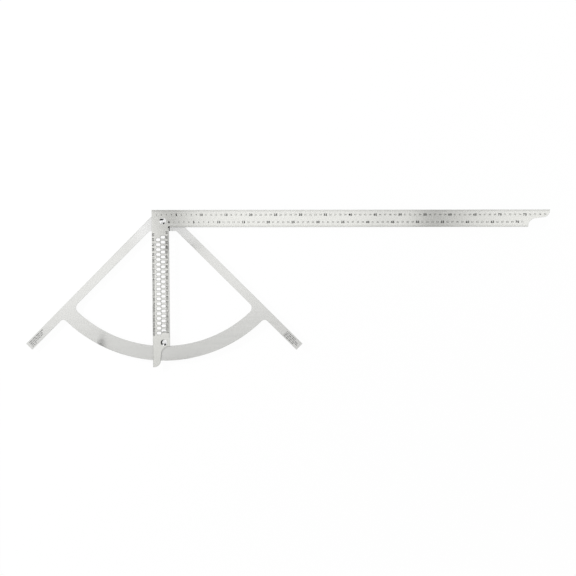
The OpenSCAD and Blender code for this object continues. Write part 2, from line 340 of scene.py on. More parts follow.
@dataclass(frozen=True)
class PlainFinish:
    """Metal or plastic without grain: soft patches in its tone and gloss."""

    name: str
    colour: Colour
    roughness: float
    metallic: float
    patch_size: float = 6 * MM
    patch_amount: float = 0.08
    tone_scale: float = 0.4
    tone_amount: float = 0.06

    def material(self) -> bpy.types.Material:
        """Makes the finish.

        Returns:
            A new material.
        """
        material, nodes, shader, place = start_material(self.name)
        tone_size = self.tone_scale * self.patch_size
        gloss_inputs = {"Vector": place, "Size": self.patch_size, "Amount": self.patch_amount}
        tone_inputs = {"Vector": place, "Size": tone_size, "Amount": self.tone_amount}
        gloss = nodes.group(Groups.handling(), gloss_inputs)
        tone = nodes.group(Groups.handling(), tone_inputs)
        hue_inputs = {"Value": nodes.math("ADD", tone, 1.0), "Color": (*self.colour, 1.0)}
        colour = nodes.add("ShaderNodeHueSaturation", hue_inputs).outputs[0]
        rough = nodes.math("ADD", gloss, self.roughness)
        shader.inputs["Metallic"].default_value = self.metallic
        nodes.tree.links.new(colour, shader.inputs["Base Color"])
        nodes.tree.links.new(rough, shader.inputs["Roughness"])
        return material


def empty_material(name: str) -> tuple[bpy.types.Material, Nodes]:
    """Makes a material without nodes.

    Args:
        name: Name of the material.

    Returns:
        The material and its nodes, none so far.
    """
    material = bpy.data.materials.new(name)
    material.use_nodes = True
    material.node_tree.nodes.clear()
    return material, Nodes(material.node_tree)


def start_material(name: str) -> tuple[bpy.types.Material, Nodes, bpy.types.Node, bpy.types.NodeSocket]:
    """Makes a material with an empty principled shader.

    Args:
        name: Name of the material.

    Returns:
        The material, its nodes, its shader and the socket of its Object coordinates.
    """
    material, nodes = empty_material(name)
    shader = nodes.add("ShaderNodeBsdfPrincipled")
    nodes.add("ShaderNodeOutputMaterial", {"Surface": shader.outputs[0]})
    place = nodes.add("ShaderNodeTexCoord").outputs["Object"]
    return material, nodes, shader, place


class Finishes:
    """Every finish of the tool, made once."""

    def __init__(self) -> None:
        """Makes the materials."""
        self.square = BrushedSteel(
            "brushed_square", (0.76, 0.76, 0.725), (0.93, 0.93, 0.895), roughness=0.21, anisotropy=0.75,
        ).material()
        # The protractor gets a painted sheen round the pivot.
        self.sector = BrushedSteel(
            "brushed_protractor", (0.70, 0.70, 0.68), (0.86, 0.86, 0.84), roughness=0.21, anisotropy=0.75,
            worn_reach=95 * MM,
        ).material()
        # Painted shade: this dark finish on the rims of the marking holes and along the hollow of the leg's
        # tip stands in for shade.
        self.pressed = BrushedSteel(
            "painted_shade_rim", (0.20, 0.20, 0.19), (0.28, 0.28, 0.27), roughness=0.3, anisotropy=0.0,
        ).material()
        # The rolled edges are real; their darker tone is painted shade for the dark that these edges mirror.
        self.edge = BrushedSteel(
            "rolled_edge_painted_shade", (0.56, 0.56, 0.55), (0.70, 0.70, 0.69), roughness=0.28, anisotropy=0.3,
        ).material()
        self.plate = BrushedSteel(
            "brushed_plate", (0.62, 0.63, 0.62), (0.80, 0.81, 0.80), roughness=0.28, anisotropy=0.6,
        ).material()
        self.polished = PlainFinish(
            "polished_head", (0.93, 0.93, 0.93), roughness=0.05, metallic=1.0, patch_amount=0.02,
        ).material()
        self.zinc = PlainFinish("zinc_plate", (0.66, 0.67, 0.69), 0.28, 1.0, patch_size=3 * MM).material()
        self.spring = PlainFinish("dark_spring", (0.23, 0.23, 0.24), 0.36, 1.0).material()
        self.brass = PlainFinish("turned_brass", (0.72, 0.55, 0.24), 0.24, 1.0).material()
        self.nylon = PlainFinish("natural_nylon", (0.78, 0.78, 0.72), 0.48, 0.0).material()
        self.ink = PlainFinish("scale_ink", (0.022, 0.022, 0.022), 0.5, 0.0, patch_size=2 * MM).material()


def finished_mesh(holder: bpy.types.Object) -> bpy.types.Mesh:
    """Links an object to the scene and makes a plain mesh of what it evaluates to.

    Args:
        holder: A curve, or a mesh with its modifiers.

    Returns:
        The mesh.
    """
    bpy.context.scene.collection.objects.link(holder)
    bpy.context.view_layer.update()
    graph = bpy.context.evaluated_depsgraph_get()
    return bpy.data.meshes.new_from_object(holder.evaluated_get(graph))


def is_flat(face: bmesh.types.BMFace) -> bool:
    """Returns whether a face lies along its sheet, and isn't a wall across it."""
    return abs(face.normal.z) > 0.5


class Digits:
    """The ten digits as solids one high and one thick, kept for each weight.

    A digit takes its advance, a share of its height, along the row. Points closer than the weld are merged,
    and walls count as one where the cosine between them reaches that of a single wall.
    """

    ADVANCE = 0.74
    CURVE_STEPS = 3
    WELD = 1e-4
    SAME_WALL = 0.9999

    def __init__(self) -> None:
        """Starts with no digit made."""
        self._made: dict[tuple[str, Weight], Solid] = {}

    @classmethod
    def _outlined(cls, digit: str) -> bmesh.types.BMesh:
        """Makes a closed solid of the font's outline of a digit, one thick.

        Args:
            digit: The digit.

        Returns:
            The solid, which the caller frees.
        """
        curve = bpy.data.curves.new("digit", "FONT")
        curve.body = digit
        curve.size = 1.0
        curve.extrude = 0.5
        curve.resolution_u = cls.CURVE_STEPS
        holder = bpy.data.objects.new("digit", curve)
        mesh = finished_mesh(holder)
        shape = bmesh.new()
        shape.from_mesh(mesh)
        bpy.data.objects.remove(holder)
        bpy.data.curves.remove(curve)
        bpy.data.meshes.remove(mesh)
        bmesh.ops.remove_doubles(shape, verts=shape.verts, dist=cls.WELD)
        bmesh.ops.dissolve_degenerate(shape, edges=shape.edges, dist=cls.WELD)
        bmesh.ops.recalc_face_normals(shape, faces=shape.faces)
        return shape

    def solid(self, digit: str, weight: Weight) -> Solid:
        """Makes one digit, centred, one high and one thick, the first time it is asked for.

        Args:
            digit: The digit.
            weight: Its stroke weight.

        Returns:
            Its points and its faces.
        """
        if (digit, weight) not in self._made:
            shape = self._outlined(digit)
            self._swell(shape, weight.value)
            shape.verts.index_update()
            points = [vertex.co.copy() for vertex in shape.verts]
            faces = [tuple(vertex.index for vertex in face.verts) for face in shape.faces]
            shape.free()
            low = Vector((min(p.x for p in points), min(p.y for p in points), 0.0))
            high = Vector((max(p.x for p in points), max(p.y for p in points), 0.0))
            middle = (low + high) / 2
            height = high.y - low.y
            flatten = Matrix.Diagonal((1 / height, 1 / height, 1.0))
            self._made[digit, weight] = ([flatten @ (p - middle) for p in points], faces)
        return self._made[digit, weight]

    @classmethod
    def _swell(cls, shape: bmesh.types.BMesh, width: float) -> None:
        """Moves the walls of a digit outwards, with mitred corners.

        Args:
            shape: The digit, whose points all lie on its outline.
            width: How far each wall moves.
        """
        moves = []
        for vertex in shape.verts:
            walls: list[Vector] = []
            for face in vertex.link_faces:
                new = all(face.normal.dot(wall) < cls.SAME_WALL for wall in walls)
                if new and not is_flat(face):
                    walls.append(face.normal.copy())
            both = sum(walls, Vector()) * (2.0 / max(len(walls), 1))
            moves.append(both * (2.0 * width / max(both.length_squared, 1.0)))
        for vertex, move in zip(shape.verts, moves):
            vertex.co += move


class Marking:
    """Numbers that are collected and then made into one piece."""

    def __init__(self, name: str, digits: Digits, face: Face, level: float) -> None:
        """Starts an empty marking.

        Args:
            name: Name of the piece.
            digits: Source of the digits.
            face: Side of the sheet.
            level: Height of that side.
        """
        self.name = name
        self.digits = digits
        self.face = face
        self.level = level
        self.points: list[Vector] = []
        self.faces: list[tuple] = []

    def add(self, text: str, centre: Pair, turn: float, height: float, weight: Weight) -> None:
        """Adds a number.

        Args:
            text: Its digits; a space leaves a gap.
            centre: Its middle on the sheet.
            turn: Angle of its reading direction, in degrees, seen from the face that carries it.
            height: Height of its digits.
            weight: Stroke weight.
        """
        place = Matrix.Translation((*centre, self.level))
        place = place @ Matrix.Rotation(math.radians(self.face.value), 4, "Y")
        place = place @ Matrix.Rotation(math.radians(turn), 4, "Z")
        place = place @ Matrix.Diagonal((height, height, MARK_THICKNESS, 1.0))
        start = -(len(text) - 1) / 2 * Digits.ADVANCE
        for i, digit in enumerate(text):
            if digit == " ":
                continue
            points, faces = self.digits.solid(digit, weight)
            first = len(self.points)
            shift = Vector((start + i * Digits.ADVANCE, 0.0, 0.0))
            self.points.extend(place @ (p + shift) for p in points)
            self.faces.extend(tuple(first + k for k in face) for face in faces)

    def piece(self, finish: bpy.types.Material, body: str) -> None:
        """Makes the piece.

        Args:
            finish: Its finish.
            body: Body that it rides on.
        """
        mesh = bpy.data.meshes.new(self.name)
        mesh.from_pydata(self.points, [], self.faces)
        mesh.materials.append(finish)
        add_piece(self.name, mesh, body)


@dataclass(frozen=True)
class Lines:
    """Lines of a scale: how many, the number of the first, their side of the path, their width and lengths.

    The three lengths are those of a plain line, of every fifth and of every tenth.
    """

    count: int
    first: int
    side: float
    width: float
    lengths: Triple

    def inputs(self) -> dict[str, float]:
        """Sets out the values for the node tree.

        Returns:
            The values of its inputs, by name, apart from the path and the material.
        """
        short, middle, long = self.lengths
        return {
            "Count": self.count, "First": self.first, "Side": self.side, "Line Width": self.width,
            "Short": short, "Middle": middle, "Long": long, "Thickness": MARK_THICKNESS,
        }


class Graduation:
    """Lines of a scale along a path, made by Geometry Nodes: every fifth longer and every tenth longest."""

    _tree: bpy.types.GeometryNodeTree | None = None

    @classmethod
    def tree(cls) -> bpy.types.GeometryNodeTree:
        """Builds the node tree on first use.

        Returns:
            The tree.
        """
        if cls._tree is None:
            cls._tree = cls._build()
        return cls._tree

    @staticmethod
    def _build() -> bpy.types.GeometryNodeTree:
        """Builds the tree.

        Returns:
            A tree that turns a path into lines, on its left for a Side of 1 and on its right for -1.
        """
        tree = bpy.data.node_groups.new("graduation", "GeometryNodeTree")
        tree.is_modifier = True
        tree.interface.new_socket(name="Path", in_out="INPUT", socket_type="NodeSocketGeometry")
        for label in ("Count", "First"):
            tree.interface.new_socket(name=label, in_out="INPUT", socket_type="NodeSocketInt")
        for label in ("Side", "Line Width", "Short", "Middle", "Long", "Thickness"):
            tree.interface.new_socket(name=label, in_out="INPUT", socket_type="NodeSocketFloat")
        tree.interface.new_socket(name="Material", in_out="INPUT", socket_type="NodeSocketMaterial")
        tree.interface.new_socket(name="Lines", in_out="OUTPUT", socket_type="NodeSocketGeometry")
        nodes = Nodes(tree)
        given = nodes.add("NodeGroupInput").outputs
        curve = nodes.add("GeometryNodeMeshToCurve", {0: given["Path"]}).outputs[0]
        point_inputs = {"Curve": curve, "Count": given["Count"]}
        points = nodes.add("GeometryNodeCurveToPoints", point_inputs, mode="COUNT").outputs
        index = nodes.math("ADD", nodes.add("GeometryNodeInputIndex").outputs[0], given["First"])
        fifth = nodes.math("COMPARE", nodes.math("MODULO", index, 5.0), 0.0, 0.1)
        tenth = nodes.math("COMPARE", nodes.math("MODULO", index, 10.0), 0.0, 0.1)
        to_middle = nodes.math("SUBTRACT", given["Middle"], given["Short"])
        to_long = nodes.math("SUBTRACT", given["Long"], given["Middle"])
        middle = nodes.math("MULTIPLY_ADD", fifth, to_middle, given["Short"])
        length = nodes.math("MULTIPLY_ADD", tenth, to_long, middle)
        size_inputs = {0: given["Line Width"], 1: length, 2: given["Thickness"]}
        size = nodes.add("ShaderNodeCombineXYZ", size_inputs).outputs[0]
        bar = nodes.add("GeometryNodeMeshCube", {"Size": (1.0, 1.0, 1.0)}).outputs["Mesh"]
        foot = nodes.add("ShaderNodeCombineXYZ", {1: nodes.math("MULTIPLY", given["Side"], 0.5)}).outputs[0]
        footed = nodes.add("GeometryNodeTransform", {"Geometry": bar, "Translation": foot}).outputs[0]
        turn_inputs = {"Vector": points["Tangent"]}
        turned = nodes.add("FunctionNodeAlignRotationToVector", turn_inputs, axis="X", pivot_axis="Z")
        turn = turned.outputs[0]
        copy_inputs = {"Points": points["Points"], "Instance": footed, "Rotation": turn, "Scale": size}
        copies = nodes.add("GeometryNodeInstanceOnPoints", copy_inputs).outputs[0]
        real = nodes.add("GeometryNodeRealizeInstances", {0: copies}).outputs[0]
        coat_inputs = {"Geometry": real, "Material": given["Material"]}
        coated = nodes.add("GeometryNodeSetMaterial", coat_inputs).outputs[0]
        nodes.add("NodeGroupOutput", {"Lines": coated})
        return tree

    @classmethod
    def piece(cls, name: str, path: list[Vector], lines: Lines, finish: bpy.types.Material, body: str,
              slot: str) -> None:
        """Makes the lines of one scale.

        Args:
            name: Name of the piece.
            path: Points of the edge that the lines stand on.
            lines: What the lines are like.
            finish: Their finish.
            body: Body that they ride on.
            slot: Material slot of the sheet that carries them; not used.
        """
        tree = cls.tree()
        inputs = {**lines.inputs(), "Material": finish}
        mesh = bpy.data.meshes.new(name + "_path")
        mesh.from_pydata(path, [(i, i + 1) for i in range(len(path) - 1)], [])
        holder = bpy.data.objects.new(name + "_path", mesh)
        modifier = holder.modifiers.new("graduation", "NODES")
        modifier.node_group = tree
        for item in tree.interface.items_tree:
            if item.name in inputs:
                modifier[item.identifier] = inputs[item.name]
        made = finished_mesh(holder)
        made.name = name
        holder.modifiers.remove(modifier)
        bpy.data.objects.remove(holder)
        bpy.data.meshes.remove(mesh)
        add_piece(name, made, body)


def add_piece(name: str, mesh: bpy.types.Mesh, body: str) -> bpy.types.Object:
    """Adds a finished mesh to the scene.

    Args:
        name: Name of the piece.
        mesh: Its mesh, in place.
        body: Body that it rides on.

    Returns:
        The object.
    """
    piece = bpy.data.objects.new(name, mesh)
    bpy.context.scene.collection.objects.link(piece)
    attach(piece, body)
    LOG.info("%s rides on %s, %d faces", name, body, len(mesh.polygons))
    return piece


@dataclass(frozen=True)
class Area:
    """A box on a sheet, from its lowest to its highest corner."""

    low: Pair
    high: Pair

    def holds(self, spot: Vector) -> bool:
        """Returns whether a place on the sheet lies in the box."""
        return self.low[0] < spot.x < self.high[0] and self.low[1] < spot.y < self.high[1]


@dataclass(frozen=True)
class RolledEdge:
    """A cut edge that stamping has rolled a little: its finish, its width and its area, if it has one."""

    finish: bpy.types.Material
    width: float
    area: Area | None = None

    def holds(self, edge: bmesh.types.BMEdge) -> bool:
        """Tells whether an edge of the mesh is of this kind.

        Args:
            edge: The edge.

        Returns:
            Whether it is a rim of the sheet and lies in the area.
        """
        if sorted(is_flat(face) for face in edge.link_faces) != [False, True]:
            return False
        return self.area is None or all(self.area.holds(vertex.co) for vertex in edge.verts)


@dataclass(frozen=True)
class Stain:
    """A stretch of a rolled edge painted dark as a shadow: its finish and its area."""

    finish: bpy.types.Material
    area: Area


def rolled_sheet(node: bpy.types.Object, name: str, body: str, faces: bpy.types.Material,
                 edges: list[RolledEdge], shadow_stretch: Stain | None = None) -> None:
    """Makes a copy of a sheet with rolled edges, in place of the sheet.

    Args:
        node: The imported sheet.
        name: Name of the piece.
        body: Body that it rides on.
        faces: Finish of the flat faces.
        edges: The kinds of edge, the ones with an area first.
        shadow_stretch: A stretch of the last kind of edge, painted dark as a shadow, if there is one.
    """
    shape = bmesh.new()
    shape.from_mesh(node.data)
    bmesh.ops.remove_doubles(shape, verts=shape.verts, dist=SHEET_WELD)
    flat = math.radians(SHEET_FLAT_DEG)
    bmesh.ops.dissolve_limit(shape, angle_limit=flat, verts=shape.verts, edges=shape.edges)
    taken: set[bmesh.types.BMEdge] = set()
    rims = []
    for kind in edges:
        rim = [edge for edge in shape.edges if edge not in taken and kind.holds(edge)]
        taken.update(rim)
        rims.append(rim)
    for i, (kind, rim) in enumerate(zip(edges, rims), start=1):
        for edge in rim:
            for face in edge.link_faces:
                if not is_flat(face):
                    face.material_index = i
        bmesh.ops.bevel(
            shape, geom=rim, offset=kind.width, offset_type="OFFSET", segments=2, profile=0.5,
            affect="EDGES", clamp_overlap=False, material=i,
        )
    finishes = [faces] + [kind.finish for kind in edges]
    # Faces of the last edge kind inside the area take the dark finish: a painted shadow.
    if shadow_stretch:
        for face in shape.faces:
            if face.material_index == len(edges) and shadow_stretch.area.holds(face.calc_center_median()):
                face.material_index = len(finishes)
        finishes.append(shadow_stretch.finish)
    bmesh.ops.triangulate(shape, faces=shape.faces)
    mesh = bpy.data.meshes.new(name)
    shape.to_mesh(mesh)
    shape.free()
    for material in finishes:
        mesh.materials.append(material)
    piece = add_piece(name, mesh, body)
    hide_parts(node.name)


def coat(node: bpy.types.Object, material: bpy.types.Material) -> None:
    """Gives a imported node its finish.

    Args:
        node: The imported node.
        material: Its finish.
    """
    for place in node.material_slots:
        place.material = material
    LOG.info("%s has the finish %s", node.name, material.name)


@dataclass(frozen=True)
class NumberStyle:
    """How the numbers of a scale look: their reading direction, and weight and height, plain or at a five.

    The step is what one centimetre counts.
    """

    turn: float
    plain: Weight
    fives: Weight
    plain_h: float
    fives_h: float
    step: int


@dataclass(frozen=True)
class NumberedScale:
    """One scale on an edge of the square: numbers at the centimetres from first to last, and lines.

    The row is how far the numbers stand from the edge. The millimetre lines run along a length and have
    three lengths of their own, and a scale without lines has none.
    """

    name: str
    zero: Pair
    along: Pair
    inward: Pair
    first: int
    last: int
    row: float
    style: NumberStyle
    length: float = 0.0
    lines: Triple | None = None


@dataclass
class Square:
    """The square: its sheet, its four scales and the fasteners that stay with it."""

    edge_roll: float = 0.5 * MM
    hole_roll: float = 0.7 * MM
    holes: Area = Area((-18 * MM, -235 * MM), (8 * MM, -26 * MM))
    cove: Area = Area((-8 * MM, -285 * MM), (12 * MM, -254 * MM))
    leg_inner: float = 12.5 * MM
    blade_inner: float = -12.5 * MM
    tip_l: float = 43 * MM
    leg_lines_l: float = 225 * MM
    line_w: float = 0.16 * MM
    blade_lines: Triple = (2.8 * MM, 4.0 * MM, 5.4 * MM)
    leg_lines: Triple = (2.0 * MM, 2.5 * MM, 2.5 * MM)
    blade_digit: float = 3.5 * MM
    blade_five: float = 5.0 * MM
    leg_digit: float = 4.6 * MM
    blade_outer_row: float = 9.9 * MM
    blade_inner_row: float = 10.3 * MM
    leg_outer_row: float = 2.75 * MM
    leg_inner_row: float = 5.0 * MM

    def scales(self) -> list[NumberedScale]:
        """Sets out the scales of the square.

        Returns:
            The outer and inner scale of the blade, and those of the leg.
        """
        low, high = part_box("square_sheet")
        corner = (low.x, high.y)
        inner = (self.leg_inner, self.blade_inner)
        outer_l = high.x - low.x
        inner_l = high.x - self.tip_l - self.leg_inner
        right, left, up, down = (1, 0), (-1, 0), (0, 1), (0, -1)
        blade = NumberStyle(0, Weight.THIN, Weight.BOLD, self.blade_digit, self.blade_five, step=1)
        leg = NumberStyle(-90, Weight.MEDIUM, Weight.MEDIUM, self.leg_digit, self.leg_digit, step=10)
        return [
            NumberedScale("blade_outer", corner, right, down, 1, 79, self.blade_outer_row, blade,
                          outer_l, self.blade_lines),
            NumberedScale("blade_inner", inner, right, up, 0, 71, self.blade_inner_row, blade,
                          inner_l, self.blade_lines),
            NumberedScale("leg_outer", corner, down, right, 5, 25, self.leg_outer_row, leg),
            NumberedScale("leg_inner", inner, down, left, 1, 21, self.leg_inner_row, leg,
                          self.leg_lines_l, self.leg_lines),
        ]

    def dress(self, nodes: dict[str, bpy.types.Object], finishes: Finishes, digits: Digits) -> None:
        """Dresses the square.

        Args:
            nodes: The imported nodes, by name.
            finishes: The finishes.
            digits: Source of the digits.
        """
        # The rims of the marking holes take the dark finish, painted shade inside the holes.
        pressed = RolledEdge(finishes.pressed, self.hole_roll, self.holes)
        edges = [pressed, RolledEdge(finishes.edge, self.edge_roll)]
        # Painted shadow: the rolled edge along the hollow of the leg's tip takes the dark rim finish.
        cove = Stain(finishes.pressed, self.cove)
        rolled_sheet(nodes["square_sheet"], "square_face", "square", finishes.square, edges, cove)
        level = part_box("square_sheet")[1].z
        for scale in self.scales():
            self.number(scale, level, finishes, digits)
            if scale.lines:
                self.graduate(scale, level, finishes)
        for name in ("pivot_bolt", "clamp_bolt"):
            coat(nodes[name], finishes.polished)
        for name in ("pivot_washer", "lock_nut"):
            coat(nodes[name], finishes.zinc)
        for name in ("slip_washer", "lock_nut_insert"):
            coat(nodes[name], finishes.nylon)
        coat(nodes["spring_washer"], finishes.spring)
        coat(nodes["pivot_bush"], finishes.brass)

    @staticmethod
    def number(scale: NumberedScale, level: float, finishes: Finishes, digits: Digits) -> None:
        """Marks the numbers of a scale, one at each centimetre.

        Args:
            scale: The scale.
            level: Height of the sheet's front.
            finishes: The finishes.
            digits: Source of the digits.
        """
        style = scale.style
        marking = Marking(scale.name + "_numbers", digits, Face.FRONT, level)
        for value in range(scale.first, scale.last + 1):
            reach = value * CM
            x = scale.zero[0] + scale.along[0] * reach + scale.inward[0] * scale.row
            y = scale.zero[1] + scale.along[1] * reach + scale.inward[1] * scale.row
            five = value % 5 == 0
            height = style.fives_h if five else style.plain_h
            weight = style.fives if five else style.plain
            marking.add(str(value * style.step), (x, y), style.turn, height, weight)
        marking.piece(finishes.ink, "square")

    def graduate(self, scale: NumberedScale, level: float, finishes: Finishes) -> None:
        """Marks the millimetre lines of a scale.

        Args:
            scale: The scale.
            level: Height of the sheet's front.
            finishes: The finishes.
        """
        count = int(round(scale.length / MM)) - 1
        along = Vector((*scale.along, 0.0))
        inward = Vector((*scale.inward, 0.0))
        edge = Vector((*scale.zero, level)) + inward * self.edge_roll
        path = [edge + along * MM, edge + along * count * MM]
        lines = Lines(count, 1, along.cross(inward).z, self.line_w, scale.lines)
        Graduation.piece(scale.name + "_lines", path, lines, finishes.ink, "square", "sheet_steel")


@dataclass
class Protractor:
    """The protractor: its sheet, the number tables on the arm ends and the degree scale behind its arc.

    The painted shadow of the leg on the hub is a dark line with its far upper corner cut off and a hook on
    its near side.
    """

    edge_roll: float = 0.45 * MM
    arm_deg: int = 45
    arm_l: float = 375 * MM
    arm_mid: float = 13.6 * MM
    arc_out: float = 284 * MM
    table_l: float = 35 * MM
    table_margin: float = 5.5 * MM
    table_row: float = 3.4 * MM
    table_digit: float = 1.95 * MM
    degree_line_w: float = 0.16 * MM
    degree_lines: Triple = (2.6 * MM, 4.0 * MM, 5.6 * MM)
    degree_row: float = 9.5 * MM
    degree_digit: float = 3.4 * MM
    # Place of the painted shadow that the leg casts on the hub, with its hook at the inner corner.
    mark_x: float = 12.4 * MM
    mark_w: float = 1.5 * MM
    mark_low: float = -20.2 * MM
    mark_high: float = -10.2 * MM
    mark_cut: float = -11.2 * MM
    hook_w: float = 2.0 * MM
    hook_low: float = -14.4 * MM
    hook_high: float = -10.6 * MM

    def dress(self, nodes: dict[str, bpy.types.Object], finishes: Finishes, digits: Digits) -> None:
        """Dresses the protractor.

        Args:
            nodes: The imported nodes, by name.
            finishes: The finishes.
            digits: Source of the digits.
        """
        sheet = nodes["protractor_sheet"]
        edges = [RolledEdge(finishes.edge, self.edge_roll)]
        rolled_sheet(sheet, "protractor_face", "protractor", finishes.sector, edges)
        low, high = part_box("protractor_sheet")
        self.tables(high.z, finishes, digits)
        self.degrees(low.z, finishes, digits)
        # Painted shadow: a dark line on the hub beside the leg's inner edge.
        self.hub_mark(high.z, finishes)

    def tables(self, level: float, finishes: Finishes, digits: Digits) -> None:
        """Marks a small table of plain numbers on the end of each arm.

        Args:
            level: Height of the sheet's front.
            finishes: The finishes.
            digits: Source of the digits.
        """
        cosines = "9848 9397 8660 7660 6428"
        tangents = "17633 36397 57735 83910"
        tables = {
            Arm.LEFT: ("173648 342020 500000 642788", cosines, tangents, "10 20 30"),
            Arm.RIGHT: ("10 20 30 40 50 60", tangents, cosines, "1736 3420 5000 6428"),
        }
        marking = Marking("arm_tables", digits, Face.FRONT, level)
        lean = math.radians(self.arm_deg)
        end = self.arm_l - self.table_margin
        for arm, rows in tables.items():
            along = Vector((arm.value * math.sin(lean), -math.cos(lean)))
            out = Vector((arm.value * math.cos(lean), math.sin(lean)))
            turn = -self.arm_deg * arm.value
            for i, row in enumerate(rows):
                width = len(row) * Digits.ADVANCE * self.table_digit
                reach = end - self.table_l + width / 2 if arm is Arm.RIGHT else end - width / 2
                offset = self.arm_mid + ((len(rows) - 1) / 2 - i) * self.table_row
                centre = along * reach + out * offset
                marking.add(row, (centre.x, centre.y), turn, self.table_digit, Weight.BOLD)
        marking.piece(finishes.ink, "protractor")

    def on_arc(self, radius: float, degree: int) -> Pair:
        """Returns the place of a degree of the scale, which runs from arm to arm, on a radius."""
        angle = math.radians(degree - self.arm_deg)
        return radius * math.sin(angle), -radius * math.cos(angle)

    def degrees(self, level: float, finishes: Finishes, digits: Digits) -> None:
        """Marks the degree scale behind the arc: lines at its outer edge and a number at every tenth one.

        Args:
            level: Height of the sheet's rear.
            finishes: The finishes.
            digits: Source of the digits.
        """
        radius = self.arc_out - self.edge_roll
        values = range(2 * self.arm_deg + 1)
        path = [Vector((*self.on_arc(radius, degree), level)) for degree in values]
        lines = Lines(len(path), 0, 1.0, self.degree_line_w, self.degree_lines)
        Graduation.piece("degree_lines", path, lines, finishes.ink, "protractor", "sheet_steel")
        marking = Marking("degree_numbers", digits, Face.REAR, level)
        row = self.arc_out - self.degree_row
        for degree in values[::10]:
            turn = self.arm_deg - degree
            marking.add(str(degree), self.on_arc(row, degree), turn, self.degree_digit, Weight.MEDIUM)
        marking.piece(finishes.ink, "protractor")

    def hub_mark(self, level: float, finishes: Finishes) -> None:
        """Paints the leg's shadow on the hub: a dark line beside the leg's inner edge when the protractor
        stands straight.

        Args:
            level: Height of the sheet's front.
            finishes: The finishes.
        """
        near, far = self.mark_x, self.mark_x + self.mark_w
        hook = near - self.hook_w
        outline = [
            (near, self.mark_low), (far, self.mark_low), (far, self.mark_cut), (near, self.mark_high),
            (hook, self.hook_high), (hook, self.hook_low), (near, self.hook_low),
        ]
        foot = level - MARK_THICKNESS / 2
        shape = bmesh.new()
        face = shape.faces.new([shape.verts.new((x, y, foot)) for x, y in outline])
        face.normal_update()
        raised = bmesh.ops.extrude_face_region(shape, geom=[face])["geom"]
        tops = [item for item in raised if isinstance(item, bmesh.types.BMVert)]
        bmesh.ops.translate(shape, verts=tops, vec=(0.0, 0.0, MARK_THICKNESS))
        bmesh.ops.recalc_face_normals(shape, faces=shape.faces)
        mesh = bpy.data.meshes.new("hub_mark")
        shape.to_mesh(mesh)
        shape.free()
        # The painted shadow takes the dark ink finish.
        mesh.materials.append(finishes.ink)
        add_piece("hub_mark", mesh, "protractor")


@dataclass
class Clamp:
    """The clamp: its plate with the heel and rivets, the washer, the thumb nut and an index line."""

    index_w: float = 0.3 * MM
    index_l: float = 6 * MM
    index_gap: float = 0.4 * MM

    def dress(self, nodes: dict[str, bpy.types.Object], finishes: Finishes) -> None:
        """Dresses the clamp.

        Args:
            nodes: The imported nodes, by name.
            finishes: The finishes.
        """
        for name in ("clamp_plate", "clamp_heel"):
            coat(nodes[name], finishes.plate)
        for name in ("heel_rivets", "clamp_washer", "thumb_nut"):
            coat(nodes[name], finishes.zinc)
        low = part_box("clamp_plate")[0]
        start = Vector((-self.index_w, low.y + self.index_gap, low.z))
        path = [start, start + Vector((2 * self.index_w, 0.0, 0.0))]
        line = Lines(1, 0, 1.0, self.index_w, (self.index_l, self.index_l, self.index_l))
        Graduation.piece("clamp_index", path, line, finishes.ink, "clamp", "plate_steel")


@dataclass(frozen=True)
class Card:
    """A dark card that stands upright beside a polished head, across one axis.

    The distance is from the pivot. The spots are the places on the head, in millimetres from its axis, in
    which the camera sees the card's corners.
    """

    name: str
    head: str
    across: Axis
    distance: float
    spots: tuple[Pair, ...]


@dataclass(frozen=True)
class Seam:
    """A soft dark seam of the light panel, which runs out towards -Y.

    The centre is its X over the blade, and the lean is how far it moves in X for each unit of Y. The widths
    are its reach towards -X and towards +X, the power is how fast its sides fall, and the depth is the share
    of light that it takes away.
    """

    centre: float
    lean: float
    widths: Pair
    power: float
    depth: float


